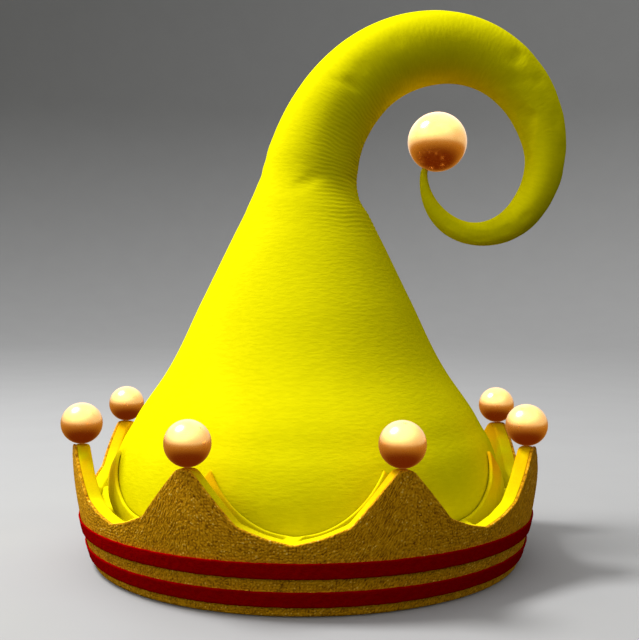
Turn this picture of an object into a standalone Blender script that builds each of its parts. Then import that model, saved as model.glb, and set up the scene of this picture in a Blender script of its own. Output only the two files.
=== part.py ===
"""Elf hat: a tall felt hood with a curled tail and a ball on its tip, standing in a padded crown of points.

Sizes are in metres, +Z is up and the hat stands on its rim at Z = 0, seen from -Y in its front view.
"""
import math
from collections import namedtuple

import bmesh
import bpy
import numpy as np

# Hood: one felt shell, a cone that bulges at the brow and runs on into a curled tail
HOOD_RADIUS = 0.0957
HOOD_TUCK = 0.0033
HOOD_FELT = 0.0028
CONE_HEIGHT = 0.178
CURL_BEND = 0.050
HOOD_SIDES = 36

# Crown: a padded band with eight points, faced with gold cloth and flared like a bowl
POINTS = 8
CROWN_TURN = math.radians(-2.6)
CROWN_HEIGHT = 0.0617
VALLEY_HEIGHT = 0.032
CROWN_FLARE = 0.0108
BAND_PAD = 0.0063
FACE_CLOTH = 0.0014

# Collar: the yellow lining between the hood's foot and the crown, with a pocket behind each point
COLLAR_WIDTH = 0.0086
COLLAR_EDGE = 0.0020
COLLAR_PEAK = 0.058
COLLAR_SCALLOP = 2.1
POCKET_FLOOR = 0.0267
POCKET_SLOPE = 0.002
POCKET_START = 0.42
POCKET_FULL = 0.53

# Stripes: two ribbons round the crown, counted up from its foot
RIBBON = 0.0008
STRIPE_WIDTH = 0.0073
STRIPE_MARGIN = 0.0049
STRIPE_SPACING = 0.0054

# Balls: one on each point and a larger one on the tip of the tail
BALL_RADIUS = 0.010
TIP_BALL_RADIUS = 0.0157

# Clearances between pieces that touch or are sewn together
LAYER_GAP = 0.0003
COLLAR_GAP = 0.0007
SEAT_GAP = 0.0003
FOOT_LIFT = 0.0006

# The cone from foot to tail: height is a share of CONE_HEIGHT, radius of HOOD_RADIUS, tuck of HOOD_TUCK
ConeRow = namedtuple("ConeRow", "height radius tuck")
CONE = (
    ConeRow(0.000, 1.000, 1.00),
    ConeRow(0.090, 1.000, 1.00),
    ConeRow(0.150, 1.055, 0.80),
    ConeRow(0.180, 1.055, 0.20),
    ConeRow(0.225, 1.055, 0.00),
    ConeRow(0.260, 1.049, 0.00),
    ConeRow(0.300, 1.029, 0.00),
    ConeRow(0.340, 0.998, 0.00),
    ConeRow(0.375, 0.959, 0.00),
    ConeRow(0.420, 0.912, 0.00),
    ConeRow(0.465, 0.855, 0.00),
    ConeRow(0.510, 0.796, 0.00),
    ConeRow(0.745, 0.574, 0.00),
    ConeRow(0.895, 0.439, 0.00),
    ConeRow(1.000, 0.344, 0.00),
)

# The curl, bend by bend: sweep in degrees, bend radius as a share of CURL_BEND,
# the tail's radius at the bend's end as a share of HOOD_RADIUS, and rings of the mesh along it
Bend = namedtuple("Bend", "sweep bend radius rings")
CURL = (
    Bend(8, 2.36, 0.2680, 1),
    Bend(7, 2.36, 0.2475, 1),
    Bend(30, 1.74, 0.2160, 2),
    Bend(45, 1.29, 0.1890, 3),
    Bend(45, 1.06, 0.1550, 3),
    Bend(45, 1.18, 0.1140, 3),
    Bend(45, 0.92, 0.0865, 3),
    Bend(45, 0.62, 0.0620, 3),
    Bend(45, 0.56, 0.0490, 3),
    Bend(45, 0.64, 0.0210, 4),
    Bend(24, 0.17, 0.0180, 2),
)
HOLLOW_BENDS = 3

# The crown's edge from a valley, 0, to a point, 1: share of the way round and share of the climb
EdgeRow = namedtuple("EdgeRow", "way climb")
EDGE = (
    EdgeRow(0.000, 0.00),
    EdgeRow(0.220, 0.12),
    EdgeRow(0.420, 0.22),
    EdgeRow(0.530, 0.32),
    EdgeRow(0.720, 0.64),
    EdgeRow(0.933, 1.00),
)
# Rows of the crown's walls: level up to a share of VALLEY_HEIGHT, then by shares of the climb that is left
LEVEL_TOP = 0.75
LEVEL_ROWS = (0.0, 0.5, 1.0)
CLIMB_ROWS = (0.5, 1.0)
# Rows of the collar that follow the hood: level with these rows of the cone, or at a share of the way
# up to the collar's edge if that is lower, which is taken from the foot inside and from the ledge outside
HugRow = namedtuple("HugRow", "cone_row share")
INNER_HUGS = (HugRow(5, 0.95), HugRow(4, 0.9), HugRow(3, 0.8), HugRow(2, 0.7), HugRow(1, 0.5))
OUTER_HUGS = (HugRow(3, 0.3), HugRow(4, 0.55), HugRow(5, 0.8))

Finish = namedtuple("Finish", "colour roughness metallic")
FINISHES = {
    "yellow_felt": Finish((0.78, 0.70, 0.010), 0.85, 0.0),
    "yellow_lining": Finish((0.90, 0.78, 0.012), 0.80, 0.0),
    "gold_cloth": Finish((0.42, 0.24, 0.025), 0.65, 0.0),
    "red_ribbon": Finish((0.22, 0.004, 0.004), 0.60, 0.0),
    "satin_gold": Finish((0.86, 0.52, 0.25), 0.25, 0.9),
}


def clear_scene():
    """Empty the scene."""
    for item in list(bpy.data.objects):
        bpy.data.objects.remove(item, do_unlink=True)


def material(name):
    """The named finish as a Principled material."""
    finish = FINISHES[name]
    made = bpy.data.materials.new(name)
    made.use_nodes = True
    shader = made.node_tree.nodes["Principled BSDF"]
    shader.inputs["Base Color"].default_value = (*finish.colour, 1.0)
    shader.inputs["Roughness"].default_value = finish.roughness
    shader.inputs["Metallic"].default_value = finish.metallic
    return made


def solid(name, mesh, finish, parent):
    """An object of a closed mesh, with its faces turned out and its round parts shaded smooth."""
    shape = bmesh.new()
    shape.from_mesh(mesh)
    bmesh.ops.recalc_face_normals(shape, faces=shape.faces)
    shape.to_mesh(mesh)
    shape.free()
    mesh.shade_smooth()
    mesh.set_sharp_from_angle(angle=math.radians(38))
    mesh.materials.append(finish)
    made = bpy.data.objects.new(name, mesh)
    made.parent = parent
    bpy.context.collection.objects.link(made)
    return made


def smooth(at, stations, values):
    """Cubic curve through values at the stations, with its slope at each taken from its neighbours."""
    slopes = np.gradient(values, stations)
    left = np.clip(np.searchsorted(stations, at, side="right") - 1, 0, len(stations) - 2)
    width = stations[left + 1] - stations[left]
    t = (at - stations[left]) / width
    from_left = (2 * t**3 - 3 * t**2 + 1) * values[left] + (t**3 - 2 * t**2 + t) * width * slopes[left]
    from_right = (3 * t**2 - 2 * t**3) * values[left + 1] + (t**3 - t**2) * width * slopes[left + 1]
    return from_left + from_right


def hood_outline():
    """Lengths along the hood's centre line and the outer radii there, a row for each table row."""
    lengths = [CONE_HEIGHT * row.height for row in CONE]
    radii = [HOOD_RADIUS * row.radius - HOOD_TUCK * row.tuck for row in CONE]
    for bend in CURL:
        lengths.append(lengths[-1] + CURL_BEND * bend.bend * math.radians(bend.sweep))
        radii.append(HOOD_RADIUS * bend.radius)
    return np.array(lengths), np.array(radii)


def hood_radius(height):
    """Outer radius of the cone at a height above the rim."""
    lengths, radii = hood_outline()
    return np.interp(height, lengths, radii)


def hood_spine():
    """Rings along the hood's centre line: across, up, heading from upright, and length so far.

    The line is upright in the cone, and each bend of the curl is an arc that starts along the last one.
    """
    rings = [(0.0, max(CONE_HEIGHT * row.height, FOOT_LIFT), 0.0, CONE_HEIGHT * row.height) for row in CONE]
    across, up, heading, length = rings[-1]
    for bend in CURL:
        reach = CURL_BEND * bend.bend
        centre_across = across + reach * math.cos(heading)
        centre_up = up - reach * math.sin(heading)
        step = math.radians(bend.sweep) / bend.rings
        for _ in range(bend.rings):
            heading += step
            length += reach * step
            across = centre_across - reach * math.cos(heading)
            up = centre_up + reach * math.sin(heading)
            rings.append((across, up, heading, length))
    return np.array(rings)


def tube_rings(spine, radii):
    """Points of a ring round each row of the spine, as an array of rings by sides by three."""
    across, up, heading = spine[:, 0, None], spine[:, 1, None], spine[:, 2, None]
    round_angle = np.linspace(0.0, 2 * math.pi, HOOD_SIDES, endpoint=False)
    out = radii[:, None] * np.cos(round_angle)
    back = radii[:, None] * np.sin(round_angle)
    return np.stack([across + out * np.cos(heading), back, up - out * np.sin(heading)], axis=2)


def tube_mesh(name, points):
    """Mesh of rings by sides of points, with quads between the rings and a flat cap at each end."""
    rows, sides = points.shape[:2]
    row = np.arange(rows - 1)[:, None] * sides
    side = np.arange(sides)
    ahead = (side + 1) % sides
    quads = np.stack([row + side, row + ahead, row + sides + ahead, row + sides + side], axis=2)
    faces = quads.reshape(-1, 4).tolist()
    faces.append(list(range(sides)))
    faces.append(list(range((rows - 1) * sides, rows * sides)))
    mesh = bpy.data.meshes.new(name)
    mesh.from_pydata(points.reshape(-1, 3).tolist(), [], faces)
    return mesh


def make_hood(finish, parent):
    """The hood: felt round a hollow that reaches into the curl, solid wadding from there to the tail's tip."""
    spine = hood_spine()
    lengths, radii = hood_outline()
    curl_radii = smooth(spine[:, 3], lengths, radii)
    outer_radii = np.where(spine[:, 3] > CONE_HEIGHT, curl_radii, hood_radius(spine[:, 3]))
    hollow_rings = len(CONE) + sum(bend.rings for bend in CURL[:HOLLOW_BENDS])
    outer = tube_rings(spine, outer_radii)
    inner = tube_rings(spine[:hollow_rings], outer_radii[:hollow_rings] - HOOD_FELT)
    points = np.concatenate([inner[::-1], outer])
    return solid("hood", tube_mesh("hood", points), finish, parent)


def crown_columns():
    """Turn of each upright column of the crown, and how far it lies from a valley, 0, to a point, 1."""
    ways = np.array([row.way for row in EDGE])
    turns = np.concatenate([-ways[:0:-1], ways])
    half_pitch = math.pi / POINTS
    starts = CROWN_TURN + 2 * half_pitch * np.arange(POINTS)
    return (starts[:, None] + half_pitch * turns).ravel(), np.tile(np.abs(turns), POINTS)


def crown_edge(way):
    """Height of the crown's edge: up the named climb from the valley, then flat across the point."""
    climb = np.interp(way, [row.way for row in EDGE], [row.climb for row in EDGE])
    return VALLEY_HEIGHT + (CROWN_HEIGHT - VALLEY_HEIGHT) * climb


def collar_edge(way):
    """Height of the collar's edge: a power curve that stays low by the valley and steepens to the point."""
    return VALLEY_HEIGHT + (COLLAR_PEAK - VALLEY_HEIGHT) * way**COLLAR_SCALLOP


def crown_inside(height):
    """Inner radius of the crown's band: the foot's radius plus a flare that is spent at the crown's top."""
    foot = HOOD_RADIUS - HOOD_TUCK + COLLAR_GAP + COLLAR_WIDTH + LAYER_GAP
    return foot + CROWN_FLARE * (1 - (1 - height / CROWN_HEIGHT) ** 2)


def collar_inside(height):
    """Inner radius of the collar, which follows the hood."""
    return hood_radius(height) + COLLAR_GAP


def band_mesh(name, radius, height):
    """Mesh of a closed section carried round the hat, from rows by columns of radius and height.

    The first half of the rows climbs the outside and the second half comes down the inside. Every
    square is cut from its lower left to its upper right, so that walls that lie on each other match.
    """
    turn, _ = crown_columns()
    points = np.stack([radius * np.sin(turn), -radius * np.cos(turn), height + 0 * radius], axis=2)
    rows, sides = radius.shape
    row = np.arange(rows)[:, None]
    side = np.arange(sides)[None, :]
    here, above = row * sides, (row + 1) % rows * sides
    ahead = (side + 1) % sides
    corners = [here + side, here + ahead, above + ahead, above + side]
    climbs = row < rows // 2
    first = np.stack([corners[0], corners[1], np.where(climbs, corners[2], corners[3])], axis=2)
    second = np.stack([np.where(climbs, corners[0], corners[1]), corners[2], corners[3]], axis=2)
    mesh = bpy.data.meshes.new(name)
    triangles = np.concatenate([first.reshape(-1, 3), second.reshape(-1, 3)])
    mesh.from_pydata(points.reshape(-1, 3).tolist(), [], triangles.tolist())
    return mesh


def wall_mesh(name, height, inner, thickness):
    """Mesh of an even wall through rows of heights, where inner gives the inner radius at a height."""
    radius = inner(height)
    return band_mesh(
        name,
        np.concatenate([radius + thickness, radius[::-1]]),
        np.concatenate([height, height[::-1]]),
    )


def face_inside(height):
    """Inner radius of the gold cloth, which lies on the padded band."""
    return crown_inside(height) + BAND_PAD + LAYER_GAP


def ribbon_inside(height):
    """Inner radius of a ribbon, which lies on the gold cloth."""
    return face_inside(height) + FACE_CLOTH + LAYER_GAP


def crown_heights(foot):
    """Rows of a crown wall from its foot: level rings below the valleys, then rows that climb to the edge."""
    _, way = crown_columns()
    top_ring = np.full_like(way, LEVEL_TOP * VALLEY_HEIGHT)
    level = [foot + (top_ring - foot) * share for share in LEVEL_ROWS]
    climbing = [top_ring + (crown_edge(way) - top_ring) * share for share in CLIMB_ROWS]
    return np.stack(level + climbing)


def make_crown(lining, cloth, parent):
    """The padded band with its points, which the hat stands on, and the gold cloth over its outside."""
    band = wall_mesh("crown_band", crown_heights(0.0), crown_inside, BAND_PAD)
    face = wall_mesh("crown_face", crown_heights(FOOT_LIFT), face_inside, FACE_CLOTH)
    solid("crown_band", band, lining, parent)
    solid("crown_face", face, cloth, parent)


def make_collar(finish, parent):
    """The lining: as wide as its room at the foot and the valleys, a thin edge round the hood elsewhere."""
    _, way = crown_columns()
    edge = collar_edge(way)
    pocket = np.clip((way - POCKET_START) / (POCKET_FULL - POCKET_START), 0.0, 1.0)

    def full(height):
        return crown_inside(height) - LAYER_GAP

    def pocketed(height):
        thin = collar_inside(height) + COLLAR_EDGE
        return full(height) + (thin - full(height)) * pocket

    def hugging(low, hugs):
        return [np.minimum(CONE_HEIGHT * CONE[hug.cone_row].height, low + (edge - low) * hug.share) for hug in hugs]

    foot = np.full_like(edge, FOOT_LIFT)
    ledge = np.full_like(edge, POCKET_FLOOR)
    climbing = [ledge] + hugging(ledge, OUTER_HUGS) + [edge]
    outside = [(foot, full), (ledge - POCKET_SLOPE, full)] + [(height, pocketed) for height in climbing]
    inside = [(height, collar_inside) for height in [edge] + hugging(foot, INNER_HUGS) + [foot]]
    rows = outside + inside
    radius = np.stack([side(height) for height, side in rows])
    height = np.stack([height for height, _ in rows])
    return solid("inner_collar", band_mesh("inner_collar", radius, height), finish, parent)


def make_stripe(name, low, finish, parent):
    """A ribbon round the crown, its lower edge at the height low."""
    _, way = crown_columns()
    rows = [np.full_like(way, low), np.full_like(way, low + STRIPE_WIDTH)]
    mesh = wall_mesh(name, np.stack(rows), ribbon_inside, RIBBON)
    return solid(name, mesh, finish, parent)


def make_ball(name, radius, segments, rings, finish, parent):
    """A round ball about its own origin."""
    shape = bmesh.new()
    bmesh.ops.create_uvsphere(shape, u_segments=segments, v_segments=rings, radius=radius)
    mesh = bpy.data.meshes.new(name)
    shape.to_mesh(mesh)
    shape.free()
    return solid(name, mesh, finish, parent)


def make_crown_balls(finish, parent):
    """A ball on the middle of each point's flat top."""
    ring = crown_inside(CROWN_HEIGHT) + (BAND_PAD + LAYER_GAP + FACE_CLOTH) / 2
    for number in range(POINTS):
        turn = CROWN_TURN + (2 * number + 1) * math.pi / POINTS
        ball = make_ball(f"crown_ball_{number + 1}", BALL_RADIUS, 12, 8, finish, parent)
        height = CROWN_HEIGHT + SEAT_GAP + BALL_RADIUS
        ball.location = (ring * math.sin(turn), -ring * math.cos(turn), height)
        ball.rotation_euler = (0.0, 0.0, turn)


def make_tip_ball(finish, parent):
    """The larger ball that the tail's tip runs into, with a pole turned towards the tail."""
    across, up, heading, _ = hood_spine()[-1]
    reach = TIP_BALL_RADIUS + SEAT_GAP
    ball = make_ball("tip_ball", TIP_BALL_RADIUS, 16, 10, finish, parent)
    ball.location = (across + reach * math.sin(heading), 0.0, up + reach * math.cos(heading))
    ball.rotation_euler = (0.0, heading, 0.0)


def stand_on_middle(hat):
    """Move the whole hat so that the middle of its bounding box, seen from above, is over the origin."""
    bpy.context.view_layer.update()
    corners = np.concatenate([
        np.array([tuple(piece.matrix_world @ vertex.co) for vertex in piece.data.vertices])
        for piece in hat.children
    ])
    middle = (corners.min(axis=0) + corners.max(axis=0)) / 2
    hat.location = (-middle[0], -middle[1], 0.0)


def main():
    """Build the hat."""
    clear_scene()
    finishes = {name: material(name) for name in FINISHES}
    hat = bpy.data.objects.new("hat", None)
    bpy.context.collection.objects.link(hat)
    make_hood(finishes["yellow_felt"], hat)
    make_collar(finishes["yellow_lining"], hat)
    make_crown(finishes["yellow_lining"], finishes["gold_cloth"], hat)
    make_stripe("stripe_lower", STRIPE_MARGIN, finishes["red_ribbon"], hat)
    upper = STRIPE_MARGIN + STRIPE_WIDTH + STRIPE_SPACING
    make_stripe("stripe_upper", upper, finishes["red_ribbon"], hat)
    make_crown_balls(finishes["satin_gold"], hat)
    make_tip_ball(finishes["satin_gold"], hat)
    stand_on_middle(hat)


main()
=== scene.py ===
# %% [markdown]
# # An elf hat, dressed
# The hat is a tall felt hood whose tip runs on into a curled, stuffed tail with a ball at its end.
# It stands in a crown of eight padded points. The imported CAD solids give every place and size.
# This lesson lays a finer piece over each of them and then works out the felt, cloth and metal.

# %% Load the frame
import math
from collections import namedtuple

import bpy
import numpy as np
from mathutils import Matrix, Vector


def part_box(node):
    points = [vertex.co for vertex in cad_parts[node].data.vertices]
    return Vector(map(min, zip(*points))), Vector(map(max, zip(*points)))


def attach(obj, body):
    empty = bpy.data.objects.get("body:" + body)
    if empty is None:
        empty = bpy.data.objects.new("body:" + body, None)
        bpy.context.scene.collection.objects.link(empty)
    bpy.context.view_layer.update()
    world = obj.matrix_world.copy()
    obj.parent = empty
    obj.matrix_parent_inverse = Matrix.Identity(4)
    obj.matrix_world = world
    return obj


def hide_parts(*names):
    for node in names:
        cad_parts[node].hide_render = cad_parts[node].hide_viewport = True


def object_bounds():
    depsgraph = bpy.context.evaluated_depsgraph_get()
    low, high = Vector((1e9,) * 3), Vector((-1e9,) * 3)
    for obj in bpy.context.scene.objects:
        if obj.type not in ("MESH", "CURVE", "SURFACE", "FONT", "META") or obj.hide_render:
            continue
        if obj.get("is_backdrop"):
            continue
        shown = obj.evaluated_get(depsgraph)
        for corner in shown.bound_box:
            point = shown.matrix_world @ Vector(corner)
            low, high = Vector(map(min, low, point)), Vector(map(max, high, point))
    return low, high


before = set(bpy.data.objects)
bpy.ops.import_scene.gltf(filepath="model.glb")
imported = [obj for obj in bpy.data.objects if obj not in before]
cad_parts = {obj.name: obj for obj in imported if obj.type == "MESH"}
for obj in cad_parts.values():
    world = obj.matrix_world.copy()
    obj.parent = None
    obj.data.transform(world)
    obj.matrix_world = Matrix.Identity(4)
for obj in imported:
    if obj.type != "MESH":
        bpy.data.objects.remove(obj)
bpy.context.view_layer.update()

# %% [markdown]
# ## The camera
# The hat was seen from straight in front, a little below half its height, from about half a metre.
# A perspective camera is set there by place and angles. A lens of 51 mm on a 36 mm sensor gives
# the same closeness, so the near points of the crown stand as low in the picture as they should.

# %% Camera
CAMERA_PLACE = (-0.0085, -0.482, 0.1292)
CAMERA_LENS = 50.85
CAMERA_TILT = -0.0156
CAMERA_TURN = -0.013
CAMERA_NEAR = 0.01

camera = bpy.data.objects.new("camera", bpy.data.cameras.new("camera"))
bpy.context.collection.objects.link(camera)
camera.location = CAMERA_PLACE
camera.rotation_euler = (math.pi / 2 + CAMERA_TILT, 0.0, CAMERA_TURN)
camera.data.lens = CAMERA_LENS
camera.data.clip_start = CAMERA_NEAR
bpy.context.scene.camera = camera
print("camera", round(-CAMERA_PLACE[1], 3), "m in front of the hat's middle")

# %% [markdown]
# ## The sizes
# A maker first draws the pattern: the hood's outline, the tail's bends and the crown's edge.
# The same named sizes shape every piece below, so that each new surface lies where its solid is.
# All of them are metres, or shares of another size where a table says so.

# %% Sizes of the hood
HOOD_RADIUS = 0.0957
HOOD_TUCK = 0.0033
HOOD_FELT = 0.0028
CONE_HEIGHT = 0.178
CURL_BEND = 0.050
FOOT_LIFT = 0.0006

# The cone from foot to tail: height is a share of CONE_HEIGHT, radius of HOOD_RADIUS, tuck of HOOD_TUCK
ConeRow = namedtuple("ConeRow", "height radius tuck")
CONE = (
    ConeRow(0.000, 1.000, 1.00),
    ConeRow(0.090, 1.000, 1.00),
    ConeRow(0.150, 1.055, 0.80),
    ConeRow(0.180, 1.055, 0.20),
    ConeRow(0.225, 1.055, 0.00),
    ConeRow(0.260, 1.049, 0.00),
    ConeRow(0.300, 1.029, 0.00),
    ConeRow(0.340, 0.998, 0.00),
    ConeRow(0.375, 0.959, 0.00),
    ConeRow(0.420, 0.912, 0.00),
    ConeRow(0.465, 0.855, 0.00),
    ConeRow(0.510, 0.796, 0.00),
    ConeRow(0.745, 0.574, 0.00),
    ConeRow(0.895, 0.439, 0.00),
    ConeRow(1.000, 0.344, 0.00),
)

# The curl, bend by bend: sweep in degrees, bend radius as a share of CURL_BEND,
# and the tail's radius at the bend's end as a share of HOOD_RADIUS
Bend = namedtuple("Bend", "sweep bend radius")
CURL = (
    Bend(8, 2.36, 0.2680),
    Bend(7, 2.36, 0.2475),
    Bend(30, 1.74, 0.2160),
    Bend(45, 1.29, 0.1890),
    Bend(45, 1.06, 0.1550),
    Bend(45, 1.18, 0.1140),
    Bend(45, 0.92, 0.0865),
    Bend(45, 0.62, 0.0620),
    Bend(45, 0.56, 0.0490),
    Bend(45, 0.64, 0.0210),
    Bend(24, 0.17, 0.0180),
)
HOLLOW_BENDS = 3

# %% Sizes of the crown and the balls
POINTS = 8
CROWN_TURN = math.radians(-2.6)
CROWN_HEIGHT = 0.0617
VALLEY_HEIGHT = 0.032
CROWN_FLARE = 0.0108
BAND_PAD = 0.0063
FACE_CLOTH = 0.0014

COLLAR_WIDTH = 0.0086
COLLAR_EDGE = 0.0020
COLLAR_PEAK = 0.058
COLLAR_SCALLOP = 2.1
POCKET_FLOOR = 0.0267
POCKET_SLOPE = 0.002

RIBBON = 0.0008
STRIPE_WIDTH = 0.0073
STRIPE_MARGIN = 0.0049
STRIPE_SPACING = 0.0054

BALL_RADIUS = 0.010
TIP_BALL_RADIUS = 0.0157

LAYER_GAP = 0.0003
COLLAR_GAP = 0.0007
SEAT_GAP = 0.0003

# The crown's edge from a valley, 0, to a point, 1: share of the way round and share of the climb
EdgeRow = namedtuple("EdgeRow", "way climb")
EDGE = (
    EdgeRow(0.000, 0.00),
    EdgeRow(0.260, 0.10),
    EdgeRow(0.510, 0.25),
    EdgeRow(0.933, 1.00),
)

# %% [markdown]
# ## Chance without surprises
# Real cloth is never quite even. Two patterns give the small unevenness: a slow wander of the
# surface, and pebbles, which are the bumps of a coarse woven or flocked cloth. Both are worked out
# on whole arrays from numbered seeds, so each run gives the same hat, and both close round it.

# %% Wander and pebbles
def ease(share):
    """The smooth step 3t^2 - 2t^3, which leaves 0 and reaches 1 level."""
    t = np.clip(share, 0.0, 1.0)
    return t * t * (3 - 2 * t)


def wander(turn, along, cells_round, cells_along, seed):
    """Chance values from -1 to 1 on a lattice, blended between its corners by the smooth step.

    turn and along are shares, 0 to 1, of the way round and of the way up.
    """
    lattice = np.random.default_rng(seed).uniform(-1, 1, (cells_along + 2, cells_round))
    x = turn % 1 * cells_round
    y = np.clip(along, 0, 1) * cells_along
    column = np.floor(x).astype(int) % cells_round
    row = np.floor(y).astype(int)
    beside = (column + 1) % cells_round
    across = ease(x - np.floor(x))
    up = ease(y - row)
    low = lattice[row, column] * (1 - across) + lattice[row, beside] * across
    high = lattice[row + 1, column] * (1 - across) + lattice[row + 1, beside] * across
    return low * (1 - up) + high * up


def pebbles(turn, along, cells_round, cells_along, seed):
    """Height, 0 to 1, and tone, 0 to 1, of bumps round scattered centres, one centre in each cell.

    The height is how much further the second nearest centre is than the nearest: 0 where two bumps
    meet, and highest in the middle of one.
    """
    chance = np.random.default_rng(seed)
    centres = chance.uniform(0.08, 0.92, (cells_along + 3, cells_round, 2))
    tones = chance.uniform(0, 1, (cells_along + 3, cells_round))
    x = turn % 1 * cells_round
    y = np.clip(along, 0, 1) * cells_along + 1
    column = np.floor(x).astype(int)
    row = np.floor(y).astype(int)
    nearest = np.full(x.shape, 9.0)
    second = np.full(x.shape, 9.0)
    tone = np.zeros(x.shape)
    for down in (-1, 0, 1):
        for beside in (-1, 0, 1):
            cell = (column + beside) % cells_round
            level = np.clip(row + down, 0, cells_along + 2)
            reach = np.hypot(
                column + beside + centres[level, cell, 0] - x,
                row + down + centres[level, cell, 1] - y,
            )
            closer = reach < nearest
            second = np.where(closer, nearest, np.minimum(second, reach))
            tone = np.where(closer, tones[level, cell], tone)
            nearest = np.where(closer, reach, nearest)
    return ease((second - nearest) * 1.6), tone


print("wander and pebbles are ready")

# %% [markdown]
# ## From a grid to a mesh
# Every piece here is a grid that closes round: rows of points, each row a ring. A tube ends in a
# pole at both ends, and a band closes on itself row by row as well. The helper measures the volume
# with its sign, and turns all the faces round if they point inwards, so that light meets the outside.

# %% Mesh of rings
def enclosed(points, triangles):
    """Volume inside closed triangles: a sixth of the sum of a . (b x c) over them."""
    a, b, c = (points[triangles[:, corner]] for corner in range(3))
    return float(np.einsum("ij,ij->", a, np.cross(b, c)) / 6)


def ring_quads(rows, columns, closes):
    """Corner numbers and corner places, 0 to 1, of the squares between rings of columns points."""
    steps = rows if closes else rows - 1
    row, column = np.meshgrid(np.arange(steps), np.arange(columns), indexing="ij")
    ahead, above = (column + 1) % columns, (row + 1) % rows
    corners = [
        row * columns + column,
        row * columns + ahead,
        above * columns + ahead,
        above * columns + column,
    ]
    places = [(column, row), (column + 1, row), (column + 1, row + 1), (column, row + 1)]
    uv = np.stack([np.stack(place, axis=-1) for place in places], axis=2) / (columns, steps)
    return np.stack(corners, axis=2).reshape(-1, 4), uv.reshape(-1, 4, 2)


def pole_fans(rows, columns):
    """Triangles from the first ring to the pole before it and from the last ring to the pole after it."""
    column = np.arange(columns)
    ahead = (column + 1) % columns
    first, last = rows * columns, rows * columns + 1
    top = (rows - 1) * columns
    start = np.stack([ahead, column, np.full(columns, first)], axis=1)
    end = np.stack([top + column, top + ahead, np.full(columns, last)], axis=1)
    zero, one = 0 * column, 0 * column + 1
    start_uv = np.stack([(column + 1, zero), (column, zero), (column + 0.5, zero)])
    end_uv = np.stack([(column, one), (column + 1, one), (column + 0.5, one)])
    uv = np.concatenate([start_uv.transpose(2, 0, 1), end_uv.transpose(2, 0, 1)]) / (columns, 1)
    return np.concatenate([start, end]), uv


def ring_mesh(name, rings, poles=None, marks=None):
    """Smooth closed mesh of rings, rows by columns by three, closed by two poles or by its last row.

    marks are named values, one for each point, that a material reads.
    """
    rows, columns = rings.shape[:2]
    points = rings.reshape(-1, 3)
    quads, quad_uv = ring_quads(rows, columns, closes=poles is None)
    fans, fan_uv = np.zeros((0, 3), int), np.zeros((0, 3, 2))
    if poles is not None:
        points = np.concatenate([points, poles])
        fans, fan_uv = pole_fans(rows, columns)
    triangles = np.concatenate([quads[:, (0, 1, 2)], quads[:, (0, 2, 3)], fans])
    if enclosed(points, triangles) < 0:
        quads, quad_uv = quads[:, ::-1], quad_uv[:, ::-1]
        fans, fan_uv = fans[:, ::-1], fan_uv[:, ::-1]
    corners = np.concatenate([quads.ravel(), fans.ravel()])
    starts = np.concatenate([np.arange(len(quads)) * 4, len(quads) * 4 + np.arange(len(fans)) * 3])
    mesh = bpy.data.meshes.new(name)
    mesh.vertices.add(len(points))
    mesh.vertices.foreach_set("co", points.astype(np.float32).ravel())
    mesh.loops.add(len(corners))
    mesh.loops.foreach_set("vertex_index", corners.astype(np.int32))
    mesh.polygons.add(len(starts))
    mesh.polygons.foreach_set("loop_start", starts.astype(np.int32))
    mesh.update(calc_edges=True)
    layer = mesh.uv_layers.new(name="cloth")
    places = np.concatenate([quad_uv.reshape(-1, 2), fan_uv.reshape(-1, 2)])
    layer.uv.foreach_set("vector", places.astype(np.float32).ravel())
    for mark, values in (marks or {}).items():
        kind = "FLOAT_VECTOR" if values.ndim == 2 else "FLOAT"
        field = "vector" if values.ndim == 2 else "value"
        mesh.attributes.new(mark, kind, "POINT").data.foreach_set(field, values.astype(np.float32).ravel())
    mesh.shade_smooth()
    mesh.validate()
    return mesh


def dress(name, mesh, finish, slot, *nodes):
    """Put a finished mesh in the place of the CAD nodes it stands for, riding on the hat's one body.

    The polished balls mirror the studio and each other. Cloth stays out of their reflections.
    """
    piece = bpy.data.objects.new(name, mesh)
    bpy.context.collection.objects.link(piece)
    mesh.materials.append(finish)
    piece.visible_glossy = slot == "satin_gold"
    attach(piece, "root")
    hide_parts(*nodes)
    print(name, len(mesh.vertices), "points in place of", ", ".join(nodes))
    return piece


# %% [markdown]
# ## Shader sums
# A material is a net of small nodes. Written as a sum, the net stays readable: a wire is one
# output, wires and numbers can be added and multiplied, a wire can be taken from a number, and any
# other node is asked for by its type. Settings come first, because some nodes change their
# sockets with them.

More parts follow.
